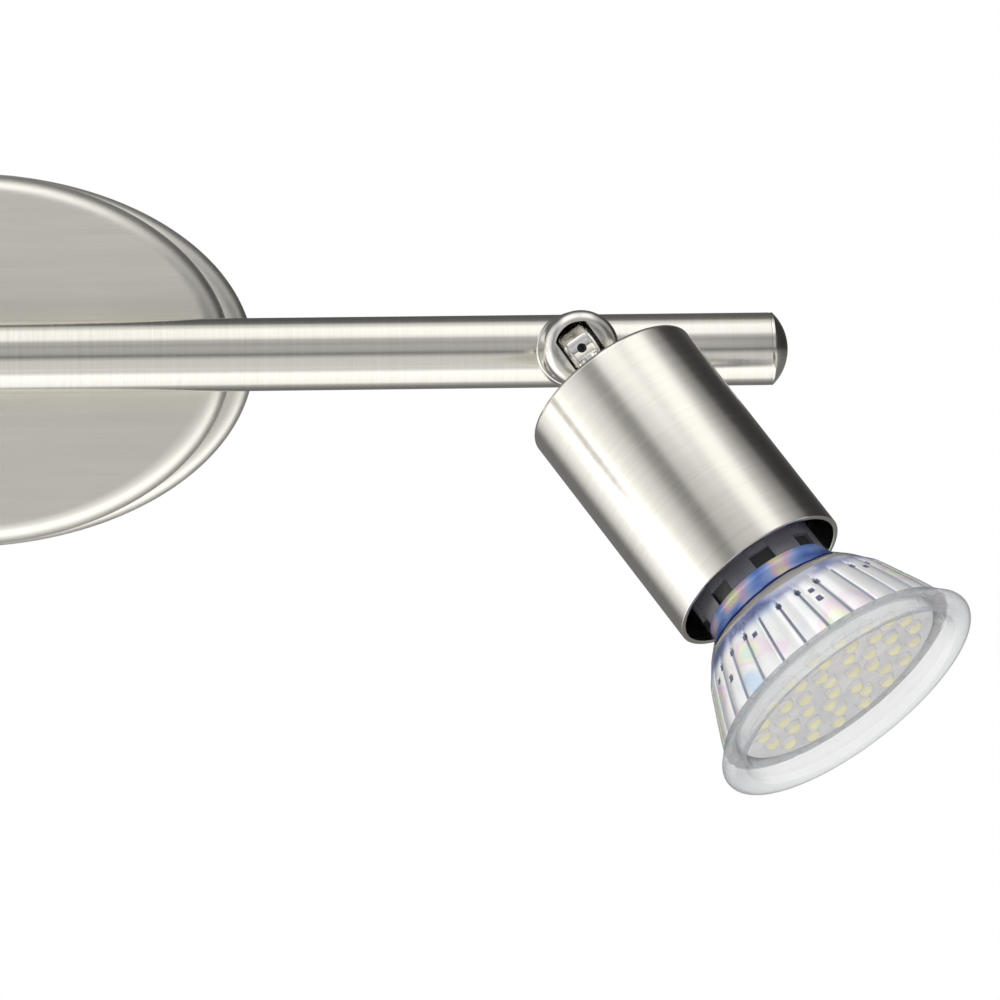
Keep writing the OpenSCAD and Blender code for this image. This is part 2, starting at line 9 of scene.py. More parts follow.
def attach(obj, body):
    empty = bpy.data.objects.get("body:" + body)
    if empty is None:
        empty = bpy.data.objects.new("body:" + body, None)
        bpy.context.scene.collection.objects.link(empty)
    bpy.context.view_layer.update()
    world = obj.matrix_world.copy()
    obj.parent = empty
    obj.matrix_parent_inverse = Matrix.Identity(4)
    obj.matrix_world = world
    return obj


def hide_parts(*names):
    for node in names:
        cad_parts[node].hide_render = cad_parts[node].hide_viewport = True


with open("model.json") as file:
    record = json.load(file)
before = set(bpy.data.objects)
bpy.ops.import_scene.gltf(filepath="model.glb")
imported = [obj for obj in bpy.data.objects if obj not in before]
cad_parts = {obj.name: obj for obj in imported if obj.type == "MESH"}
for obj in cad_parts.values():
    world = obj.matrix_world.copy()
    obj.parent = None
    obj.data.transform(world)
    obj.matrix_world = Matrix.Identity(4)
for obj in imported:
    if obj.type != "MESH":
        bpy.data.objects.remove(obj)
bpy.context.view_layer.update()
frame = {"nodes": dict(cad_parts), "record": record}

# ------------------------------------------------------------------ sizes, in millimetres
MM = 0.001
LEFT, RIGHT = -1, 1
SIDES = {"left": LEFT, "right": RIGHT}

BAR_R, BAR_IN_R, BAR_LEN, BAR_OUT = 6.35, 5.35, 281.4, 27.5
CAP_OUT, CAP_RIM, PLUG_LEN = 3.2, 0.5, 6.0
STEM_GAP, STEM_R, SPIGOT_R, STEM_BORE = 50.0, 5.5, 4.0, 2.6
PLATE_R, PLATE_RATIO, PLATE_DEPTH, PLATE_WALL = 51.6, 0.64, 15.5, 1.1
FLANGE_OUT, SHOULDER_R, INNER_SHOULDER_R = 7.8, 4.7, 4.3
STEP_R, STEP_ROUND, STEP_LOW = 47.4, 5.0, 4.4
STEP_RATIO = (PLATE_R * PLATE_RATIO - 0.4) / STEP_R
SIDE_SCREW_OUT = 2.7

HEAD_SPACING, PIVOT_OUT = 210.8, 50.5
PAN_REST, TILT_REST = 55.0, 64.5
COLLAR_TOP, WASHER_T, TAIL_R = 36.5, 0.5, 3.0
KNUCKLE_R, KNUCKLE_FRONT, KNUCKLE_ROUND, KNUCKLE_NECK = 6.5, 4.8, 2.2, 4.6
KNUCKLE_BASE = COLLAR_TOP + WASHER_T - PIVOT_OUT
TAIL_END, TAIL_BORE = 27.0 - PIVOT_OUT, 1.8
SLOT_HALF, SLOT_END_R, SLOT_FLOOR = 3.2, 4.6, -4.2
PIVOT_SEAT = 5.0

LUG_R, LUG_HALF, LUG_CROWN, NECK_R, LEAD_BORE = 3.8, 2.7, 4.3, 2.4, 1.6
LEAD_SCREW_TURN = 64.5
SLEEVE_R, SLEEVE_WALL, SLEEVE_REAR, SLEEVE_MOUTH = 16.05, 0.9, 9.2, 53.8
ARM_TAIL_R, ARM_TAIL_END = 3.5, 15.5

BASE_R, BASE_BOSS_R, BASE_BACK, BASE_STEP = 11.9, 9.8, 31.8, 35.5
NOTCH_W, NOTCH_LEN, NOTCH_DEEP, NOTCH_TURN = 4.0, 2.6, 0.9, -8.0
GLASS_BACK, GLASS_FRONT = 56.4, 76.0
GLASS_LINE = [(56.4, 12.3), (58.4, 12.9), (60, 14.2), (62, 16), (65, 17.9), (68.4, 19.5), (73.5, 21.8),
              (76, 22.8)]
FLUTES = 30
PIT_ROWS = (66.4, 67.6, 70.0)
BOARD_R, BOARD_BACK, BOARD_T = 19.7, 75.0, 1.2
BEAD_S, BEAD_R, LAMP_R = 79.1, 1.6, 25.0
CHIP_R, CHIP_H, RING_FIRST, RING_STEP, RING_TURN = 1.5, 1.5, 3.0, 4.2, 20.0
CHIPS_IN_RING = [3, 8, 13, 18]


# ------------------------------------------------------------------ frames
def turn(degrees, axis):
    return Matrix.Rotation(math.radians(degrees), 4, axis)


def move(x, y, z):
    return Matrix.Translation(Vector((x, y, z)) * MM)


# In each frame local z is the piece's own axis
OUTWARD = turn(90, "X")
ALONG_BAR = move(0, -BAR_OUT, 0) @ turn(90, "Y")


def swivel(side):
    return move(side * HEAD_SPACING / 2, -PIVOT_OUT, 0) @ turn(-side * (90 - PAN_REST), "Y") @ OUTWARD


def head(side):
    return swivel(side) @ turn(TILT_REST, "X")


# ------------------------------------------------------------------ mesh tools
def fillet(points, radii, steps=6):
    """A polyline with each corner that has a radius replaced by an arc."""
    out = []
    for i, p in enumerate(points):
        r = radii[i]
        if r <= 0:
            out.append(tuple(p))
            continue
        a, b, c = Vector(points[i - 1]), Vector(p), Vector(points[(i + 1) % len(points)])
        u, v = (a - b).normalized(), (c - b).normalized()
        half = u.angle(v) / 2
        reach = min(r / math.tan(half), 0.49 * min((a - b).length, (c - b).length))
        r = reach * math.tan(half)
        centre = b + (u + v).normalized() * (r / math.sin(half))
        start, end = b + u * reach - centre, b + v * reach - centre
        a0 = math.atan2(start.y, start.x)
        sweep = (math.atan2(end.y, end.x) - a0 + math.pi) % (2 * math.pi) - math.pi
        out += [(centre.x + r * math.cos(a0 + sweep * k / steps),
                 centre.y + r * math.sin(a0 + sweep * k / steps))
                for k in range(steps + 1)]
    return out


def make_mesh(name, verts, faces):
    mesh = bpy.data.meshes.new(name)
    mesh.from_pydata([Vector(v) * MM for v in verts], [], faces)
    return tidy(mesh)


def tidy(mesh):
    """One skin with outward normals and no doubled points."""
    bm = bmesh.new()
    bm.from_mesh(mesh)
    bmesh.ops.remove_doubles(bm, verts=bm.verts, dist=1e-7)
    bmesh.ops.recalc_face_normals(bm, faces=bm.faces)
    bm.to_mesh(mesh)
    bm.free()
    return mesh


def grid_rings(rings, closed, steps):
    """Faces between rings of vertex numbers; a ring at a pole repeats its one number."""
    pairs = list(zip(rings, rings[1:])) + ([(rings[-1], rings[0])] if closed else [])
    faces = []
    for low, high in pairs:
        for k in range(steps):
            m = (k + 1) % steps
            face = list(dict.fromkeys((low[k], low[m], high[m], high[k])))
            if len(face) > 2:
                faces.append(face)
    return faces


def revolve(name, profile, steps=96, closed=True):
    """A solid of revolution about local z from (radius, z) points."""
    verts, rings = [], []
    for r, z in profile:
        if r < 1e-6:
            rings.append([len(verts)] * steps)
            verts.append((0, 0, z))
        else:
            rings.append(list(range(len(verts), len(verts) + steps)))
            verts += [(r * math.cos(2 * math.pi * k / steps), r * math.sin(2 * math.pi * k / steps), z)
                      for k in range(steps)]
    return make_mesh(name, verts, grid_rings(rings, closed, steps))


def rod(name, r, low, high, edge=0.0, steps=48):
    return revolve(name, fillet([(0, low), (r, low), (r, high), (0, high)], [0, edge, edge, 0], 3), steps)


def ring(name, r_out, r_in, low, high, edge=0.08, steps=64):
    return revolve(name, fillet([(r_in, low), (r_out, low), (r_out, high), (r_in, high)], [edge] * 4, 3),
                   steps)


def block(name, x, y, z):
    verts = [(a, b, c) for c in z for b in y for a in x]
    return make_mesh(name, verts, [(0, 2, 3, 1), (4, 5, 7, 6), (0, 1, 5, 4), (2, 6, 7, 3), (0, 4, 6, 2),
                                   (1, 3, 7, 5)])


def prism(name, r, sides, low, high):
    return revolve(name, [(0, low), (r, low), (r, high), (0, high)], sides)


def placed(mesh, matrix):
    mesh.transform(matrix)
    return mesh


def joined(name, meshes):
    """Several separate skins in one mesh."""
    bm = bmesh.new()
    for m in meshes:
        bm.from_mesh(m)
    out = bpy.data.meshes.new(name)
    bm.to_mesh(out)
    bm.free()
    return out


def with_modifiers(mesh, add):
    """The mesh that modifiers give; add(object) puts them on and returns any helper objects."""
    o = bpy.data.objects.new("helper", mesh)
    bpy.context.scene.collection.objects.link(o)
    helpers = add(o)
    bpy.context.view_layer.update()
    out = bpy.data.meshes.new_from_object(o.evaluated_get(bpy.context.evaluated_depsgraph_get()))
    for x in [o, *helpers]:
        bpy.data.objects.remove(x)
    return out


def combine(mesh, others, operation="DIFFERENCE"):
    def add(o):
        helpers = []
        for m in others:
            tool = bpy.data.objects.new("tool", m)
            bpy.context.scene.collection.objects.link(tool)
            mod = o.modifiers.new("cut", "BOOLEAN")
            mod.object, mod.operation, mod.solver = tool, operation, "EXACT"
            helpers.append(tool)
        return helpers
    return tidy(with_modifiers(mesh, add))


def softened(mesh, width, segments=2, angle=35):
    """Sharp edges rounded by width millimetres."""
    def add(o):
        mod = o.modifiers.new("edge", "BEVEL")
        mod.width, mod.segments, mod.limit_method = width * MM, segments, "ANGLE"
        mod.angle_limit, mod.use_clamp_overlap = math.radians(angle), True
        return []
    return with_modifiers(mesh, add)


def smooth_line(points, per_span=6):
    """Points of a centripetal curve through the given ones."""
    p = [Vector(q) for q in points]
    p = [2 * p[0] - p[1], *p, 2 * p[-1] - p[-2]]
    out = []
    for i in range(1, len(p) - 2):
        p0, p1, p2, p3 = p[i - 1:i + 3]
        t0 = 0.0
        t1 = t0 + (p1 - p0).length ** 0.5
        t2 = t1 + (p2 - p1).length ** 0.5
        t3 = t2 + (p3 - p2).length ** 0.5
        for k in range(per_span):
            t = t1 + (t2 - t1) * k / per_span
            a1 = p0 * ((t1 - t) / (t1 - t0)) + p1 * ((t - t0) / (t1 - t0))
            a2 = p1 * ((t2 - t) / (t2 - t1)) + p2 * ((t - t1) / (t2 - t1))
            a3 = p2 * ((t3 - t) / (t3 - t2)) + p3 * ((t - t2) / (t3 - t2))
            b1 = a1 * ((t2 - t) / (t2 - t0)) + a2 * ((t - t0) / (t2 - t0))
            b2 = a2 * ((t3 - t) / (t3 - t1)) + a3 * ((t - t1) / (t3 - t1))
            out.append(b1 * ((t2 - t) / (t2 - t1)) + b2 * ((t - t1) / (t2 - t1)))
    out.append(p[-2])
    return out


def tube(name, points, r, sides=16):
    """A round lead along points, with flat ends."""
    path = [Vector(q) for q in points]
    u = None
    verts, rings = [], []
    for i, q in enumerate(path):
        t = (path[min(i + 1, len(path) - 1)] - path[max(i - 1, 0)]).normalized()
        if u is None:
            u = Vector((0, 1, 0)) if abs(t.x) > 0.9 else Vector((1, 0, 0))
        u = (u - t * u.dot(t)).normalized()
        v = t.cross(u)
        if i == 0:
            rings.append([len(verts)] * sides)
            verts.append(tuple(q))
        rings.append(list(range(len(verts), len(verts) + sides)))
        verts += [tuple(q + r * (math.cos(angle) * u + math.sin(angle) * v))
                  for angle in [2 * math.pi * k / sides for k in range(sides)]]
    rings.append([len(verts)] * sides)
    verts.append(tuple(path[-1]))
    return make_mesh(name, verts, grid_rings(rings, False, sides))


def slotted_screw(name, shank_r, shank_len, head_r, head_t, slot=0.6):
    """Pan-head screw with a driver slot: seat at z 0, shank towards -z."""
    profile = fillet([(0, -shank_len), (shank_r, -shank_len), (shank_r, 0), (head_r, 0), (head_r, head_t),
                      (0, head_t)],
                     [0, 0.15, 0, 0.1, head_t * 0.62, 0], 5)
    body = revolve(name, profile, 48)
    groove = block("groove", (-head_r - 1, head_r + 1), (-slot / 2, slot / 2), (head_t * 0.5, head_t + 1))
    return combine(body, [groove])


# ------------------------------------------------------------------ node materials
class Nodes:
    """Short ways to add and join nodes in one tree."""

    def __init__(self, tree):
        self.tree = tree
        tree.nodes.clear()

    def add(self, kind, **values):
        n = self.tree.nodes.new(kind)
        for k, v in values.items():
            if k.startswith("in_"):
                key = k[3:]
                n.inputs[int(key) if key.isdigit() else key.replace("_", " ")].default_value = v
            else:
                setattr(n, k, v)
        return n

    def join(self, a, b):
        self.tree.links.new(a, b)

    def math(self, op, a, b=None, clamp=False):
        n = self.add("ShaderNodeMath", operation=op, use_clamp=clamp)
        for i, x in enumerate((a, b)):
            if x is None:
                continue
            if isinstance(x, (int, float)):
                n.inputs[i].default_value = x
            else:
                self.join(x, n.inputs[i])
        return n.outputs[0]

    def spread(self, value, lo, hi, to_lo=0.0, to_hi=1.0, smooth=True):
        n = self.add("ShaderNodeMapRange", interpolation_type="SMOOTHSTEP" if smooth else "LINEAR")
        self.join(value, n.inputs["Value"])
        for key, x in (("From Min", lo), ("From Max", hi), ("To Min", to_lo), ("To Max", to_hi)):
            n.inputs[key].default_value = x
        return n.outputs["Result"]

    def mix(self, factor, a, b):
        n = self.add("ShaderNodeMix", data_type="RGBA")
        sockets = [s for s in n.inputs if s.enabled]
        for s, x in zip(sockets, (factor, a, b)):
            if isinstance(x, (int, float)):
                s.default_value = x
            elif isinstance(x, tuple):
                s.default_value = (*x, 1.0)
            else:
                self.join(x, s)
        return [s for s in n.outputs if s.enabled][0]

    def noise(self, coords, scale, detail=3.0, rough=0.55, stretch=(1, 1, 1)):
        m = self.add("ShaderNodeMapping")
        m.inputs["Scale"].default_value = stretch
        self.join(coords, m.inputs["Vector"])
        n = self.add("ShaderNodeTexNoise", in_Scale=scale, in_Detail=detail, in_Roughness=rough)
        self.join(m.outputs[0], n.inputs["Vector"])
        return n.outputs["Fac"]


def material(name, build, **principled):
    """A Principled material; build(nodes, shader, coords) links the detail that varies over the surface."""
    m = bpy.data.materials.new(name)
    m.use_nodes = True
    n = Nodes(m.node_tree)
    out = n.add("ShaderNodeOutputMaterial")
    shader = n.add("ShaderNodeBsdfPrincipled")
    for k, v in principled.items():
        shader.inputs[k.replace("_", " ")].default_value = v
    n.join(shader.outputs[0], out.inputs["Surface"])
    coords = n.add("ShaderNodeTexCoord").outputs["Object"]
    if build:
        build(n, shader, coords)
    return m


def bump(n, shader, height, strength, distance):
    b = n.add("ShaderNodeBump", in_Strength=strength, in_Distance=distance)
    n.join(height, b.inputs["Height"])
    n.join(b.outputs[0], shader.inputs["Normal"])


def edge_highlight(n):
    """1 on convex edges, 0 elsewhere: where a painted highlight goes."""
    g = n.add("ShaderNodeNewGeometry")
    return n.spread(g.outputs["Pointiness"], 0.53, 0.62)


def brushed(name, tint, dark, rough, grain, aniso, tangent=("RADIAL", "Z"), strength=0.25):
    """Brushed metal: fine grooves across the stretch, cloudy tint, a painted highlight on convex edges."""
    def build(n, s, coords):
        lines = n.noise(coords, 1.0, 4.0, 0.65, grain)
        broad = n.noise(coords, 1.0, 2.0, 0.5, tuple(g * 0.12 for g in grain))
        cloud = n.noise(coords, 60.0, 3.0, 0.5)
        shade = n.math("ADD", n.math("MULTIPLY", lines, 0.65), n.math("MULTIPLY", broad, 0.35))
        colour = n.mix(n.spread(shade, 0.3, 0.7), dark, tint)
        colour = n.mix(n.math("MULTIPLY", n.spread(cloud, 0.35, 0.75), 0.18), colour,
                       tuple(c * 0.9 for c in tint))
        # Convex edges painted lighter: a painted highlight.
        colour = n.mix(n.math("MULTIPLY", edge_highlight(n), 0.5), colour, tuple(min(1, c * 1.12) for c in tint))
        n.join(colour, s.inputs["Base Color"])
        n.join(n.spread(shade, 0.25, 0.75, rough * 0.86, rough * 1.16), s.inputs["Roughness"])
        bump(n, s, shade, strength, 0.00002)
        t = n.add("ShaderNodeTangent", direction_type=tangent[0])
        if tangent[0] == "RADIAL":
            t.axis = tangent[1]
        else:
            t.uv_map = tangent[1]
        n.join(t.outputs[0], s.inputs["Tangent"])
    return material(name, build, Metallic=1.0, Anisotropic=aniso, Anisotropic_Rotation=0.25)


def plain_metal(name, tint, rough, spots=220.0, strength=0.08):
    def build(n, s, coords):
        cloud = n.noise(coords, spots, 4.0, 0.6)
        fine = n.noise(coords, spots * 12, 3.0, 0.6)
        colour = n.mix(n.spread(cloud, 0.3, 0.75), tuple(c * 0.86 for c in tint), tint)
        # Convex edges painted lighter: a painted highlight.
        colour = n.mix(n.math("MULTIPLY", edge_highlight(n), 0.6), colour, tuple(min(1, c * 1.15) for c in tint))
        n.join(colour, s.inputs["Base Color"])
        n.join(n.spread(cloud, 0.3, 0.7, rough * 0.8, rough * 1.25), s.inputs["Roughness"])
        bump(n, s, fine, strength, 0.00003)
    return material(name, build, Metallic=1.0)


def moulded(name, tint, rough=0.42, speck=0.06, **extra):
    """Plastic or ceramic with a fine orange-peel skin and faint clouds."""
    def build(n, s, coords):
        cloud = n.noise(coords, 90.0, 3.0, 0.5)
        skin = n.noise(coords, 2600.0, 2.0, 0.5)
        colour = n.mix(n.spread(cloud, 0.3, 0.7), tuple(c * (1 - speck) for c in tint), tint)
        n.join(colour, s.inputs["Base Color"])
        n.join(n.spread(skin, 0.3, 0.7, rough * 0.85, rough * 1.2), s.inputs["Roughness"])
        bump(n, s, skin, 0.12, 0.00003)
    return material(name, build, **extra)


NICKEL = (0.78, 0.755, 0.695)
NICKEL_DARK = (0.71, 0.685, 0.625)
M = {
    "turned": brushed("satin_nickel_turned", NICKEL, NICKEL_DARK, 0.2, (70, 70, 4200), 0.5, strength=0.16),
    "sheet": brushed("satin_nickel_sheet", (0.98, 0.955, 0.88), (0.93, 0.905, 0.83), 0.42, (60, 3600, 3600),
                     0.3, ("UV_MAP", "UVMap"), 0.1),
    "cast": plain_metal("satin_nickel_cast", (0.80, 0.78, 0.73), 0.22, 300.0, 0.06),
    "chrome": plain_metal("polished_nickel", (0.93, 0.92, 0.90), 0.09, 260.0, 0.03),
    "zinc": plain_metal("zinc_steel", (0.62, 0.63, 0.64), 0.36, 180.0, 0.2),
    "black_steel": plain_metal("black_steel", (0.05, 0.05, 0.055), 0.35),
    "brass": plain_metal("brass_fitting", (0.72, 0.53, 0.24), 0.28),
    "washer": moulded("dark_fibre", (0.09, 0.088, 0.08), 0.55),
    "black": moulded("black_plastic", (0.025, 0.025, 0.027), 0.45),
    "white": moulded("white_plastic", (0.80, 0.80, 0.78), 0.4),
    "brown_lead": moulded("brown_insulation", (0.20, 0.075, 0.03), 0.35),
    "blue_lead": moulded("blue_insulation", (0.03, 0.10, 0.45), 0.35),
    "white_lead": moulded("white_insulation", (0.82, 0.80, 0.74), 0.38),
    "ceramic": moulded("holder_ceramic", (0.78, 0.74, 0.66), 0.5, 0.1),
    "neck": moulded("grey_plastic", (0.15, 0.15, 0.175), 0.3, 0.12),
    "pin": plain_metal("pin_metal", (0.70, 0.69, 0.66), 0.25),
    "board": None,
}


def build_board(n, s, coords):
    cloud = n.noise(coords, 160.0, 3.0, 0.6)
    colour = n.mix(n.spread(cloud, 0.3, 0.7), (0.72, 0.71, 0.73), (0.88, 0.87, 0.88))
    n.join(colour, s.inputs["Base Color"])
    bump(n, s, cloud, 0.1, 0.00005)


def colour_stops(n, value, stops):
    """A colour that follows value through (value, colour) stops."""
    ramp = n.add("ShaderNodeValToRGB")
    n.join(value, ramp.inputs[0])
    e = ramp.color_ramp.elements
    while len(e) > 1:
        e.remove(e[-1])
    for i, (at, c) in enumerate(stops):
        el = e[0] if i == 0 else e.new(at)
        el.position, el.color = at, (*c, 1)
    return ramp.outputs[0]


def build_cup(n, s, coords):
    """Coated glass cup: blue, a dark line, a beige seat, lilac, then faintly coloured white flutes."""
    axis = n.add("ShaderNodeSeparateXYZ")
    n.join(coords, axis.inputs[0])
    tint = n.noise(coords, 120.0, 1.5, 0.5)
    patches = n.noise(coords, 150.0, 1.0, 0.4)
    wave = n.math("MULTIPLY", n.math("SUBTRACT", n.noise(coords, 170.0, 2.0), 0.5), 0.0012)
    along = n.spread(n.math("ADD", axis.outputs["Z"], wave), 0.056, 0.076, smooth=False)
    faint = colour_stops(n, tint, [
        (0.30, (0.66, 0.80, 0.98)), (0.40, (0.90, 0.94, 0.98)), (0.47, (0.97, 0.97, 0.97)),
        (0.56, (0.96, 0.96, 0.95)), (0.62, (0.96, 0.80, 0.93)), (0.68, (0.98, 0.97, 0.76)),
        (0.74, (0.80, 0.96, 0.84))])
    blues = colour_stops(n, patches, [
        (0.34, (0.12, 0.19, 0.62)), (0.44, (0.24, 0.38, 0.84)), (0.54, (0.42, 0.56, 0.93)),
        (0.62, (0.92, 0.62, 0.80)), (0.68, (0.92, 0.92, 0.60))])
    lilacs = colour_stops(n, patches, [(0.35, (0.16, 0.20, 0.42)), (0.48, (0.40, 0.44, 0.72)),
                                       (0.60, (0.74, 0.76, 0.88))])
    beige = n.mix(patches, (0.36, 0.34, 0.33), (0.56, 0.53, 0.50))
    line = n.math("MULTIPLY", n.spread(along, 0.225, 0.24), n.spread(along, 0.27, 0.255))
    colour = n.mix(n.spread(along, 0.255, 0.275), blues, beige)
    colour = n.mix(line, colour, (0.02, 0.03, 0.16))
    colour = n.mix(n.spread(along, 0.335, 0.35), colour, lilacs)
    colour = n.mix(n.spread(along, 0.40, 0.52), colour, faint)
    n.join(colour, s.inputs["Base Color"])
    n.join(n.spread(n.noise(coords, 900.0, 2.0), 0.3, 0.7, 0.05, 0.16), s.inputs["Roughness"])


def build_rim(n, s, coords):
    """Clear glass, seen through where it faces the eye; where it turns away it is painted grey and made more
    solid, a painted shade along the glass's edge.
    """
    facing = n.add("ShaderNodeLayerWeight", in_Blend=0.5).outputs["Facing"]
    cloud = n.noise(coords, 60.0)
    n.join(n.spread(n.noise(coords, 300.0, 2.0), 0.3, 0.7, 0.02, 0.08), s.inputs["Roughness"])
    # Near white where the surface faces the eye, grey where it turns away: painted shade along the glass's
    # edge.
    n.join(n.mix(n.spread(facing, 0.2, 0.95), (0.93, 0.95, 0.96),
                 n.mix(cloud, (0.40, 0.44, 0.48), (0.56, 0.60, 0.63))),
           s.inputs["Base Color"])
    n.join(n.spread(facing, 0.45, 0.97, 0.22, 0.84, smooth=False), s.inputs["Alpha"])


M["board"] = material("board_white", build_board, Roughness=0.5)
M["cup"] = material("coated_glass", build_cup, Metallic=0.25, IOR=1.5, Transmission_Weight=0.25,
                    Coat_Weight=0.6,
                    Coat_Roughness=0.04)
M["rim"] = material("clear_rim", build_rim, IOR=1.46, Coat_Weight=0.8, Coat_Roughness=0.03)
# Painted shade: a dark grey-blue for the faces in the narrow grooves between the flutes.
M["groove"] = moulded("coated_glass_groove_shade", (0.30, 0.33, 0.40), 0.12, 0.3, Coat_Weight=0.6)
# Painted shadow: a near-black blue for the faces inside the small pits.
M["pit"] = moulded("coated_glass_pit_shadow", (0.10, 0.11, 0.20), 0.1, 0.3, Coat_Weight=0.6)
M["cover"] = material("clear_cover", None, Base_Color=(1, 1, 1, 1), Roughness=0.03, Alpha=0.08)
M["dome"] = moulded("light_chip", (0.86, 0.84, 0.87), 0.12, 0.05, Coat_Weight=0.8, Coat_Roughness=0.03)
M["phosphor"] = moulded("light_chip_centre", (0.93, 0.88, 0.56), 0.3, 0.05, Coat_Weight=0.6)


# ------------------------------------------------------------------ pieces
def piece(name, mesh, matrix, body, finish, stands_for=(), angle=32):
    mesh.name = name
    for f in finish if isinstance(finish, (list, tuple)) else [finish]:
        mesh.materials.append(M[f])
    mesh.shade_smooth()
    mesh.set_sharp_from_angle(angle=math.radians(angle))
    o = bpy.data.objects.new(name, mesh)
    bpy.context.scene.collection.objects.link(o)
    o.matrix_world = matrix
    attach(o, body)
    if stands_for:
        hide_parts(*stands_for)
    return o


def flat_uv(mesh):
    """The map whose first direction is local x, for grooves that run straight across a sheet."""
    layer = mesh.uv_layers.new(name="UVMap")
    for loop in mesh.loops:
        co = mesh.vertices[loop.vertex_index].co
        layer.data[loop.index].uv = (co.x * 8 + 0.5, (co.y + co.z * 0.3) * 8 + 0.5)
    return mesh


STILL = Matrix.Identity(4)

# Wall plate: a low oval flange and, in it, a tall oval with a soft edge
def pressing(r, inner, low, high, outer_round, inner_round, ratio):
    """A round sheet bent over a rounded edge, made shorter along Z."""
    hollow_r, hollow_h = r - PLATE_WALL, high - PLATE_WALL
    line = fillet([(r, low), (r, high), (inner, high), (inner, hollow_h), (hollow_r, hollow_h),
                   (hollow_r, low)],
                  [0, outer_round, 0, 0, inner_round, 0], 16)
    mesh = revolve("pressing", line, 256)
    mesh.transform(Matrix.Diagonal((1, ratio, 1, 1)))
    return mesh


plate = combine(pressing(PLATE_R, 43, 0, FLANGE_OUT, SHOULDER_R, INNER_SHOULDER_R, PLATE_RATIO),
                [pressing(STEP_R, 0, STEP_LOW, PLATE_DEPTH, STEP_ROUND, STEP_ROUND - PLATE_WALL,
                          STEP_RATIO)], "UNION")
stem_holes = [placed(rod("hole", SPIGOT_R, 6, 18), move(x * STEM_GAP / 2, 0, 0)) for x in (-1, 1)]
side_holes = [placed(rod("hole", 1.5, -3, 3),
                     move(0, z * PLATE_R * PLATE_RATIO, SIDE_SCREW_OUT) @ turn(90, "X"))
              for z in (-1, 1)]
plate = combine(plate, stem_holes + side_holes)
piece("wall_plate", flat_uv(plate), OUTWARD, "bar_frame", "sheet", ["canopy_cover"])

side_screws = [placed(slotted_screw("side_screw", 1.25, 4, 2.4, 1.6),
                      turn(t, "Y") @ move(0, 0, PLATE_R * PLATE_RATIO + 0.05))
               for t in (0, 180)]
piece("side_screws", joined("side_screws", side_screws), move(0, -SIDE_SCREW_OUT, 0), "bar_frame", "chrome",
      ["canopy_side_screws"])

# Stems between the plate and the bar, hollowed to sit on the bar
bar_cutter = placed(rod("bar_cutter", BAR_R, -BAR_LEN / 2, BAR_LEN / 2, 0, 192), ALONG_BAR)
stems = []
for x in (-1, 1):
    profile = fillet([(STEM_BORE, 7), (SPIGOT_R, 7), (SPIGOT_R, PLATE_DEPTH), (STEM_R, PLATE_DEPTH),
                      (STEM_R, BAR_OUT),
                      (STEM_BORE, BAR_OUT)], [0.1, 0.3, 0, 0.3, 0, 0], 4)
    stem = placed(revolve("stem", profile, 96), move(x * STEM_GAP / 2, 0, 0) @ OUTWARD)
    stems.append(combine(stem, [bar_cutter]))
piece("bar_stems", joined("bar_stems", stems), STILL, "bar_frame", "cast", ["bar_stems"])

# Bar and its end caps
bar = revolve("bar_tube", fillet([(BAR_IN_R, -BAR_LEN / 2), (BAR_R, -BAR_LEN / 2), (BAR_R, BAR_LEN / 2),
                                  (BAR_IN_R, BAR_LEN / 2)], [0, 0.12, 0.12, 0], 3), 192)
to_bar = ALONG_BAR.inverted()
drills = [placed(rod("drill", STEM_BORE, 0, BAR_OUT - 2),
                 to_bar @ move(x * STEM_GAP / 2, 0, 0) @ OUTWARD) for x in (-1, 1)]
drills += [placed(rod("drill", TAIL_R + 0.06, BAR_OUT + 2, PIVOT_OUT),
                  to_bar @ move(x * HEAD_SPACING / 2, 0, 0) @ OUTWARD)
           for x in (-1, 1)]
piece("bar_tube", combine(bar, drills), ALONG_BAR, "bar_frame", "turned", ["bar_tube"])

dome_h = CAP_OUT - CAP_RIM
dome_r = (BAR_R ** 2 + dome_h ** 2) / (2 * dome_h)
dome = [(dome_r * math.sin(t), CAP_OUT - dome_r * (1 - math.cos(t)))
        for t in [math.asin(BAR_R / dome_r) * (1 - k / 14) for k in range(15)]]
cap_line = fillet([(0, -PLUG_LEN), (BAR_IN_R - 0.02, -PLUG_LEN), (BAR_IN_R - 0.02, 0), (BAR_R, 0)],
                  [0, 0.4, 0, 0.1], 4)
for name, side in SIDES.items():
    cap = revolve("end_cap", cap_line + fillet([(BAR_R, 0.2), dome[0], *dome[1:]], [0, 0.15] + [0] * 14, 4),
                  192)
    end_turn = turn(180, "Y") if side == LEFT else Matrix.Identity(4)
    piece(f"end_cap_{name}", cap, ALONG_BAR @ end_turn @ move(0, 0, BAR_LEN / 2),
          "bar_frame", "turned", [f"end_cap_{name}"])

# Collars that stand on the bar under each swivel
collars = []
for x in (-1, 1):
    profile = fillet([(TAIL_R + 0.06, BAR_OUT), (BAR_R - 0.05, BAR_OUT), (BAR_R - 0.05, COLLAR_TOP),
                      (TAIL_R + 0.06, COLLAR_TOP)],
                     [0, 0, 0.45, 0.1], 5)
    collar = placed(revolve("collar", profile, 128), move(x * HEAD_SPACING / 2, 0, 0) @ OUTWARD)
    collars.append(combine(collar, [bar_cutter]))
piece("swivel_collars", joined("swivel_collars", collars), STILL, "bar_frame", "cast",
      ["swivel_collars"])


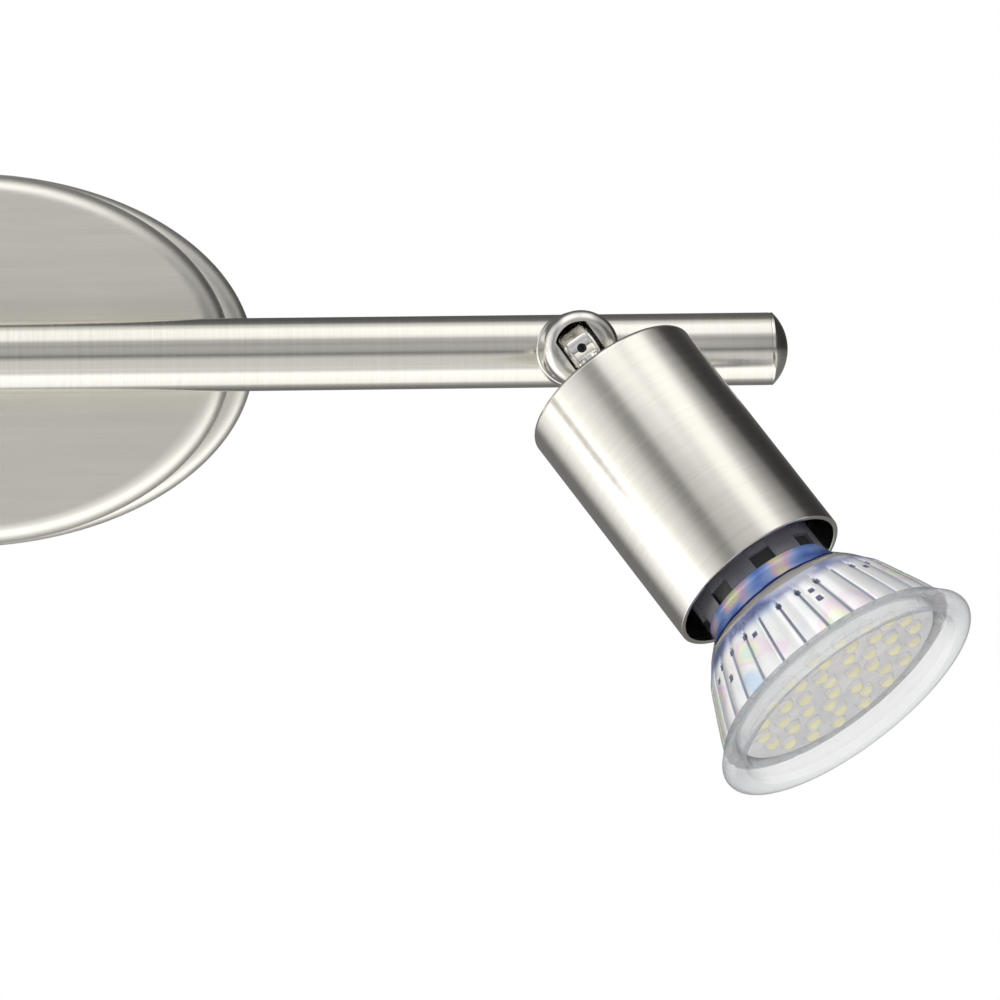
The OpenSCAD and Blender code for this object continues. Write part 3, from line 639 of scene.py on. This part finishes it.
def knuckle_mesh():
    profile = fillet([(TAIL_BORE, TAIL_END), (TAIL_R, TAIL_END), (TAIL_R, KNUCKLE_BASE),
                      (KNUCKLE_NECK, KNUCKLE_BASE), (KNUCKLE_NECK, KNUCKLE_BASE + 3.5),
                      (KNUCKLE_R, KNUCKLE_BASE + 7), (KNUCKLE_R, KNUCKLE_FRONT),
                      (0, KNUCKLE_FRONT), (0, -6), (TAIL_BORE, -6)],
                     [0, 0.3, 0, 0.35, 2.5, 2.5, KNUCKLE_ROUND, 0, 0, 0], 10)
    body = revolve("knuckle", profile, 144)
    slot = combine(rod("slot", SLOT_END_R, SLOT_FLOOR, 9, 0, 96),
                   [block("side", (-SLOT_HALF, SLOT_HALF), (-9, 9), (SLOT_FLOOR - 1, 10))], "INTERSECT")
    mouth = block("mouth", (-SLOT_HALF, SLOT_HALF), (-15, 0.0), (SLOT_FLOOR, 9))
    body = combine(body, [slot, mouth, rod("lead_way", TAIL_BORE, -8, 0)])
    bores = [placed(rod("bore", 1.25, 1, 8), turn(90 * x, "Y")) for x in (-1, 1)]
    sinks = [placed(rod("sink", 1.9, PIVOT_SEAT, 9), turn(90 * x, "Y")) for x in (-1, 1)]
    return softened(combine(body, bores + sinks), 0.18, 2, 40)


def lug_mesh():
    crown = [(LUG_CROWN * math.sin(t), LUG_CROWN * math.cos(t))
             for t in [math.pi * k / 48 for k in range(49)]]
    eye = [(min(r, LUG_R), max(-LUG_HALF, min(LUG_HALF, z))) for r, z in crown]
    eye[0], eye[-1] = (0, LUG_HALF), (0, -LUG_HALF)
    body = placed(revolve("lug", eye, 128), turn(90, "Y"))
    shaft_line = [(0, 1), (NECK_R, 1), (NECK_R, SLEEVE_REAR - 1.2), (4.5, SLEEVE_REAR - 1.2),
                  (4.5, SLEEVE_REAR), (ARM_TAIL_R, SLEEVE_REAR), (ARM_TAIL_R, ARM_TAIL_END),
                  (0, ARM_TAIL_END)]
    shaft = revolve("shaft", fillet(shaft_line, [0, 0, 0.5, 0.3, 0, 0, 0.2, 0], 5), 96)
    body = combine(body, [shaft], "UNION")
    pivots = [placed(rod("pivot", 1.06, 1.2, 5), turn(90 * x, "Y")) for x in (-1, 1)]
    lead_way = rod("lead_way", LEAD_BORE, -6, 20)
    tap = placed(rod("tap", 0.8, 1.3, 6), turn(-LEAD_SCREW_TURN, "X"))
    body = combine(body, [lead_way] + pivots + [tap])
    return softened(body, 0.22, 2, 40)


def pivot_screw_mesh():
    both = []
    for x in (-1, 1):
        screw = slotted_screw("pivot_screw", 1.22, PIVOT_SEAT - SLOT_HALF, 1.8, 1.0, 0.45)
        spigot = rod("spigot", 1.0, 1.75 - PIVOT_SEAT, 0.2 + SLOT_HALF - PIVOT_SEAT, 0.1)
        both.append(placed(combine(screw, [spigot], "UNION"), turn(90 * x, "Y") @ move(0, 0, PIVOT_SEAT)))
    return joined("pivot_screws", both)


def lead_screw_mesh():
    body = rod("grub", 0.78, 1.75, 3.5, 0.1, 32)
    return placed(combine(body, [prism("hex", 0.5, 6, 2.7, 4)]), turn(-LEAD_SCREW_TURN, "X"))


def sleeve_mesh():
    bore = SLEEVE_R - SLEEVE_WALL
    seat = SLEEVE_REAR + 1.1
    profile = fillet([(ARM_TAIL_R, SLEEVE_REAR), (SLEEVE_R, SLEEVE_REAR), (SLEEVE_R, SLEEVE_MOUTH),
                      (bore, SLEEVE_MOUTH),
                      (bore, seat), (ARM_TAIL_R, seat)], [0.1, 1.0, 0.2, 0.15, 0.4, 0.1], 8)
    return revolve("sleeve", profile, 256)


def base_mesh():
    profile = fillet([(0, BASE_BACK), (BASE_BOSS_R, BASE_BACK), (BASE_BOSS_R, BASE_STEP), (BASE_R, BASE_STEP),
                      (BASE_R, GLASS_BACK), (0, GLASS_BACK)], [0, 0.6, 0.3, 0.8, 0.2, 0], 5)
    body = revolve("base", profile, 160)
    notches = [placed(block("notch", (BASE_R - NOTCH_DEEP, BASE_R + 1), (-NOTCH_W / 2, NOTCH_W / 2),
                            (GLASS_BACK - NOTCH_LEN, GLASS_BACK + 1)), turn(45 * k + NOTCH_TURN,
                                                                            "Z")) for k in range(8)]
    return softened(combine(body, notches), 0.15, 2)


def mark_faces(mesh, number, test):
    """Gives a face the material number where test(radius, distance along the axis, in mm) holds."""
    for poly in mesh.polygons:
        c = poly.center / MM
        if test(math.hypot(c.x, c.y), c.z):
            poly.material_index = number


def glass_radius(s):
    """Outside of the cup, smooth through the given line."""
    line = GLASS_LINE
    for i in range(len(line) - 1):
        if s <= line[i + 1][0]:
            (s0, r0), (s1, r1) = line[i], line[i + 1]
            m0 = (r1 - line[max(i - 1, 0)][1]) / (s1 - line[max(i - 1, 0)][0])
            m1 = (line[min(i + 2, len(line) - 1)][1] - r0) / (line[min(i + 2, len(line) - 1)][0] - s0)
            t, h = (s - s0) / (s1 - s0), s1 - s0
            return ((2 * t ** 3 - 3 * t ** 2 + 1) * r0 + (t ** 3 - 2 * t ** 2 + t) * h * m0
                    + (3 * t ** 2 - 2 * t ** 3) * r1 + (t ** 3 - t ** 2) * h * m1)
    return line[-1][1]


def step(x, lo, hi):
    t = max(0.0, min(1.0, (x - lo) / (hi - lo)))
    return t * t * (3 - 2 * t)


def cup_mesh():
    """Fluted cup with rows of small pits above the flutes."""
    around = FLUTES * 16
    levels = [GLASS_BACK + (GLASS_FRONT - GLASS_BACK) * k / 80 for k in range(81)]
    verts, rings = [], []

    def add(radius_at, s):
        rings.append(list(range(len(verts), len(verts) + around)))
        for k in range(around):
            r = radius_at(2 * math.pi * k / around, s)
            a = 2 * math.pi * k / around
            verts.append((r * math.cos(a), r * math.sin(a), s))

    def pit_at(a, s):
        """Depth of the small pits: one at the top of each line between flutes, and some on the flutes."""
        turns = a * FLUTES / (2 * math.pi)
        line = (turns + 0.5) % 1 - 0.5
        depth = 0.0
        for off, s0, wanted in ((line, PIT_ROWS[0], int(turns + 0.5) % 4 != 1),
                                (turns % 1 - 0.5, PIT_ROWS[1], int(turns) % 3 == 0),
                                (turns % 1 - 0.5, PIT_ROWS[2], int(turns) % 5 == 1)):
            d = (off * 2 * math.pi * 18.5 / FLUTES / 0.5) ** 4 + ((s - s0) / 0.55) ** 4
            depth += 0.2 * max(0.0, 1 - d) ** 0.5 if wanted else 0.0
        return depth

    def groove_at(a, s):
        """How deep the narrow line between two flutes is."""
        phase = abs((a * FLUTES / (2 * math.pi)) % 1 - 0.5) * 2
        return step(phase, 0.84, 1.0) * step(s, 63.5, 66.0)

    def outside(a, s):
        bulge = 0.30 * abs(math.cos(FLUTES * a / 2 + math.pi / 2)) * step(s, 63, 65)
        return glass_radius(s) - 0.30 + bulge - 0.28 * groove_at(a, s) - pit_at(a, s)

    def inside(a, s):
        return glass_radius(s) - 1.6

    for s in levels:
        add(outside, s)
    for s in reversed(levels[::4]):
        add(inside, s)
    mesh = make_mesh("cup", verts, grid_rings(rings, True, around))
    for poly in mesh.polygons:
        c = poly.center / MM
        a, r = math.atan2(c.y, c.x) % (2 * math.pi), math.hypot(c.x, c.y)
        if r < glass_radius(c.z) - 1.2:
            continue
        # Faces in a pit get the dark pit material: painted shadow in the hollow.
        if pit_at(a, c.z) > 0.05:
            poly.material_index = 2
        # Faces in a groove get the dark groove material: painted shade in the crease.
        elif groove_at(a, c.z) > 0.55:
            poly.material_index = 1
    return mesh


def rim_mesh():
    bead = [(LAMP_R - BEAD_R + BEAD_R * math.cos(t), BEAD_S + BEAD_R * math.sin(t))
            for t in [math.radians(-40 + 130 * k / 18) for k in range(19)]]
    profile = fillet([(20.2, BOARD_BACK), (20.6, BOARD_BACK), (20.6, GLASS_FRONT), (22.8, GLASS_FRONT), *bead,
                      (21.3, BEAD_S + 1.2), (20.7, BEAD_S - 0.6), (20.2, BEAD_S - 0.9)],
                     [0.1, 0.1, 0, 0] + [0] * 19 + [0.5, 0.3, 0.2], 4)
    return revolve("rim", profile, 224)


def chips_mesh():
    """Domed light chips, each on a short round foot, with a phosphor spot on top."""
    verts, faces, spots = [], [], []
    n = 20
    base = BOARD_BACK + BOARD_T
    for j, count in enumerate(CHIPS_IN_RING):
        for k in range(count):
            a = math.radians(360 * k / count + RING_TURN * j)
            cx, cy = (RING_FIRST + RING_STEP * j) * math.cos(a), (RING_FIRST + RING_STEP * j) * math.sin(a)
            line = [(CHIP_R, 0.0), (CHIP_R, 0.35), (CHIP_R * 0.93, 0.42)]
            line += [(CHIP_R * 0.93 * math.cos(t), 0.42 + (CHIP_H + 0.3) * 0.62 * math.sin(t))
                     for t in [math.pi / 2 * q / 9 for q in range(1, 9)]]
            start = len(verts)
            for r, z in line:
                verts += [(cx + r * math.cos(2 * math.pi * q / n), cy + r * math.sin(2 * math.pi * q / n),
                           base + z)
                          for q in range(n)]
            verts.append((cx, cy, base + 0.42 + (CHIP_H + 0.3) * 0.62))
            verts.append((cx, cy, base))
            top, bottom = len(verts) - 2, len(verts) - 1
            for i in range(len(line) - 1):
                for q in range(n):
                    m = (q + 1) % n
                    faces.append((start + i * n + q, start + i * n + m, start + (i + 1) * n + m,
                                  start + (i + 1) * n + q))
                    spots.append(i > 3)
            for q in range(n):
                m = (q + 1) % n
                faces.append((start + (len(line) - 1) * n + q, start + (len(line) - 1) * n + m, top))
                spots.append(True)
                faces.append((start + m, start + q, bottom))
                spots.append(False)
    mesh = bpy.data.meshes.new("chips")
    mesh.from_pydata([Vector(v) * MM for v in verts], [], faces)
    return mesh, spots


LEAD_R = 0.7
for name, side in SIDES.items():
    at_swivel, at_head = swivel(side), head(side)
    turning, tilting, twisting = f"swivel_{name}", f"head_{name}", f"lamp_{name}"
    piece(f"pan_washer_{name}", ring("washer", KNUCKLE_NECK, TAIL_R, COLLAR_TOP + 0.05 - PIVOT_OUT,
                                     KNUCKLE_BASE, 0.05, 96),
          at_swivel, turning, "washer", [f"pan_washer_{name}"])
    piece(f"swivel_knuckle_{name}", knuckle_mesh(), at_swivel, turning, "cast",
          [f"swivel_knuckle_{name}"])
    piece(f"pivot_screws_{name}", pivot_screw_mesh(), at_swivel, turning, "zinc",
          [f"pivot_screws_{name}"])
    piece(f"lamp_arm_{name}", lug_mesh(), at_head, tilting, "chrome", [f"lamp_arm_{name}"])
    piece(f"lead_screw_{name}", lead_screw_mesh(), at_head, tilting, "black_steel",
          [f"lead_screw_{name}"])
    piece(f"lamp_sleeve_{name}", sleeve_mesh(), at_head, tilting, "turned",
          [f"lamp_sleeve_{name}"])
    base = base_mesh()
    # The notch faces get black plastic on the grey base: painted shade in the notches.
    mark_faces(base, 1, lambda r, s: s > GLASS_BACK - NOTCH_LEN - 0.1
               and BASE_R - NOTCH_DEEP - 0.2 < r < BASE_R - 0.25)
    piece(f"lamp_base_{name}", base, at_head, twisting, ["neck", "black"],
          [f"lamp_base_{name}"])
    piece(f"lamp_cup_{name}", cup_mesh(), at_head, twisting, ["cup", "groove", "pit"],
          [f"lamp_reflector_{name}"])
    piece(f"lamp_rim_{name}", rim_mesh(), at_head, twisting, "rim", [f"lamp_front_{name}"])
    piece(f"lamp_cover_{name}", rod("cover", 20.7, BEAD_S - 0.6, BEAD_S + 0.3, 0.1, 160), at_head, twisting,
          "cover",
          [f"lamp_front_{name}"])
    piece(f"led_board_{name}", rod("board", BOARD_R, BOARD_BACK, BOARD_BACK + BOARD_T, 0.1, 160), at_head,
          twisting, "board",
          [f"led_board_{name}"])
    chips, spots = chips_mesh()
    lit = piece(f"led_chips_{name}", chips, at_head, twisting, ["dome", "phosphor"],
                [f"led_chips_{name}"])
    for poly, spot in zip(lit.data.polygons, spots):
        poly.material_index = 1 if spot else 0
    leads = [tube("lead", smooth_line([(x * 0.75, 0, -1.6), (x * 0.75, 0, ARM_TAIL_END + 0.6),
                                       (x * 1.5, 0, ARM_TAIL_END + 1.7),
                                       (x * 3.8, 0, 18.4), (x * 5, 0, 20), (x * 5, 0,
                                                                            22.5)]), LEAD_R) for x in (-1, 1)]
    piece(f"lamp_leads_{name}", joined("lamp_leads", leads), at_head, tilting, "white_lead",
          [f"lamp_leads_{name}"])

# Leads inside the plate and the bar
INSIDE = BAR_OUT - 2.9


def lead_route(side, pole, level, z):
    stem_x, head_x, sign = side * STEM_GAP / 2, side * HEAD_SPACING / 2, math.copysign(1, z)
    route = [(pole + side * 0.8, -7, 13), (pole + side * 0.8, -7, 9)]
    if side * pole > 0:
        route.append((pole + side * 2, -level, 5))
    else:
        route += [(pole + side * 4, -level, 5), (0, -level, 3 * sign + 1)]
    route += [(side * 16, -level, z + 0.6 * sign), (stem_x - side * 2, -5, z), (stem_x, -7.5, z),
              (stem_x, 3.1 - INSIDE, z),
              (stem_x + side, 1 - INSIDE, z), (stem_x + side * 4, -INSIDE, z), (head_x - side * 3, -INSIDE,
                                                                                z),
              (head_x - side * 0.8, -INSIDE - 0.9, z), (head_x, -INSIDE - 3.4, z), (head_x, -45, z)]
    return smooth_line(route, 4)


for node, finish, slot, pole, level, z in (("live_wires", "brown_lead", "brown_insulation", 8, 8.5, 0.8),
                                           ("neutral_wires", "blue_lead", "blue_insulation", -8, 4.8, -0.8)):
    piece(node, joined(node, [tube("lead", lead_route(s, pole, level, z), LEAD_R) for s in (LEFT, RIGHT)]),
          STILL,
          "bar_frame", finish, [node])

# CAD nodes that show as they are, with rounded edges and their own finish
CAD_FINISH = {
    "satin_nickel": "cast", "polished_nickel": "chrome", "zinc_steel": "zinc",
    "black_steel": "black_steel", "brass": "brass", "pin_metal": "pin",
    "black_plastic": "black", "white_plastic": "white", "grey_plastic": "neck",
    "green_insulation": "green_lead", "white_insulation": "white_lead",
    "holder_ceramic": "ceramic", "board_white": "board",
}
# Rounding of the edges of those nodes
EDGE_ROUND = 0.12 * MM
M["green_lead"] = moulded("green_insulation", (0.06, 0.38, 0.10), 0.35)
node_slot = {part["node"]: part["material_slot"] for part in frame["record"]["subparts"]}
for n, o in frame["nodes"].items():
    if o.hide_render:
        continue
    finish = CAD_FINISH.get(node_slot.get(n), "zinc")
    o.data.materials.clear()
    o.data.materials.append(M[finish])
    o.data.shade_smooth()
    o.data.set_sharp_from_angle(angle=math.radians(30))
    if n != "earth_wire":
        edge = o.modifiers.new("edge", "BEVEL")
        edge.width, edge.segments = EDGE_ROUND, 2
        edge.limit_method, edge.angle_limit = "ANGLE", math.radians(50)

# ------------------------------------------------------------------ floor, light and camera
def build_floor(n, s, coords):
    cloud = n.noise(coords, 3.0, 4.0, 0.6)
    fine = n.noise(coords, 260.0, 3.0, 0.6)
    n.join(n.mix(cloud, (0.80, 0.80, 0.79), (0.86, 0.86, 0.85)), s.inputs["Base Color"])
    bump(n, s, fine, 0.05, 0.0002)


floor = bpy.data.objects.new("floor", revolve("floor", [(0, -30), (2600, -30), (2600, 0), (0, 0)], 96))
bpy.context.scene.collection.objects.link(floor)
floor.location = (0, 0, -0.34)
floor.data.materials.append(material("pale_floor", build_floor, Roughness=0.7))
floor.visible_glossy = False
floor.visible_transmission = False

world = bpy.data.worlds.new("studio")
bpy.context.scene.world = world
world.use_nodes = True
w = Nodes(world.node_tree)
world_out = w.add("ShaderNodeOutputWorld")
direction = w.add("ShaderNodeSeparateXYZ")
w.join(w.add("ShaderNodeTexCoord").outputs["Generated"], direction.inputs[0])
dx, dy, dz = direction.outputs
around_bar = w.math("ARCTAN2", dz, w.math("MULTIPLY", dy, -1.0))


def level_ramp(value, lo, hi, stops):
    """A brightness that follows value through (value, brightness) stops, smoothly."""
    r = w.add("ShaderNodeValToRGB")
    r.color_ramp.interpolation = "EASE"
    w.join(w.spread(value, lo, hi, smooth=False), r.inputs[0])
    e = r.color_ramp.elements
    while len(e) > 1:
        e.remove(e[-1])
    top = max(b for _, b in stops)
    for i, (at, b) in enumerate(stops):
        el = e[0] if i == 0 else e.new((at - lo) / (hi - lo))
        el.position = (at - lo) / (hi - lo)
        el.color = (b / top, b / top, b / top, 1)
    return w.math("MULTIPLY", r.outputs[0], top)


degrees = w.math("MULTIPLY", around_bar, 180 / math.pi)
# Round the bar: soft light above and below, a darker gap in front, dim behind
band = level_ramp(degrees, -180, 180, [
    (-180, 0.2), (-140, 0.2), (-120, 0.45), (-106, 1.3), (-66, 1.5), (-54, 0.8), (-16, 0.74),
    (-5, 0.36), (0, 0.12), (5, 0.42), (22, 0.46), (34, 0.36), (44, 0.5), (58, 1.1), (84, 1.15),
    (100, 0.7), (116, 0.14), (140, 0.1), (180, 0.1)])
# Along the bar, the light above is strongest a little to the right and ends before the far right
reach = level_ramp(dx, -1, 1, [
    (-1, 0.0), (-0.72, 0.25), (-0.6, 0.6), (-0.52, 0.72), (-0.44, 1.5), (-0.15, 1.3), (0, 1.0),
    (0.18, 1.25), (0.34, 1.25), (0.46, 0.6), (0.58, 0.4), (1, 0.35)])
upper = w.spread(dz, -0.2, 0.1)
shaped = w.math("ADD", w.math("MULTIPLY", reach, upper), w.math("SUBTRACT", 1.0, upper))
lit_band = w.math("MULTIPLY", band, shaped)
# Tall soft light on the left
left_light = level_ramp(dx, -1, 1, [(-1, 1.5), (-0.96, 1.2), (-0.86, 0.9), (-0.76, 0.6), (-0.66, 0.2),
                                    (-0.58, 0.0), (1, 0.0)])
env = w.math("ADD", lit_band, left_light)
studio = w.add("ShaderNodeBackground")
w.join(env, studio.inputs["Strength"])
studio.inputs["Color"].default_value = (1, 1, 1, 1)
backdrop = w.add("ShaderNodeBackground", in_Strength=1.0)
backdrop.inputs["Color"].default_value = (1, 1, 1, 1)
ray = w.add("ShaderNodeLightPath")
seen = w.math("MAXIMUM", ray.outputs["Is Camera Ray"], ray.outputs["Is Transmission Ray"])
choose = w.add("ShaderNodeMixShader")
w.join(seen, choose.inputs[0])
w.join(studio.outputs[0], choose.inputs[1])
w.join(backdrop.outputs[0], choose.inputs[2])
w.join(choose.outputs[0], world_out.inputs["Surface"])


def soft_light(name, place, target, size, watts):
    data = bpy.data.lights.new(name, "AREA")
    data.shape, data.size, data.energy = "DISK", size, watts
    o = bpy.data.objects.new(name, data)
    bpy.context.scene.collection.objects.link(o)
    o.location = place
    o.rotation_mode = "QUATERNION"
    o.rotation_quaternion = (Vector(target) - Vector(place)).to_track_quat("-Z", "Y")
    o.visible_glossy = False
    o.visible_camera = False
    return o


soft_light("key", (-0.9, -1.3, 1.4), (0, -0.03, -0.03), 0.9, 16)
soft_light("fill", (1.2, -1.1, 0.5), (0, -0.03, -0.03), 0.9, 6)
soft_light("back", (0.2, 1.3, 1.0), (0, -0.03, -0.03), 0.8, 6)

camera = bpy.data.objects.new("camera", bpy.data.cameras.new("camera"))
bpy.context.scene.collection.objects.link(camera)
camera.data.sensor_width = 36
camera.data.lens = 248.6
camera.data.clip_start, camera.data.clip_end = 0.01, 50
eye, aim = Vector((0, -1.2275, -0.022)), Vector((0.093165, -0.0275, -0.025833))
forward = (aim - eye).normalized()
right = forward.cross(Vector((0, 0, 1))).normalized()
up = right.cross(forward)
ROLL = -0.01267
right, up = (right * math.cos(ROLL) + up * math.sin(ROLL), up * math.cos(ROLL) - right * math.sin(ROLL))
pose = Matrix((right, up, -forward)).transposed().to_4x4()
pose.translation = eye
camera.matrix_world = pose
bpy.context.scene.camera = camera
bpy.context.scene.view_settings.view_transform = "Standard"
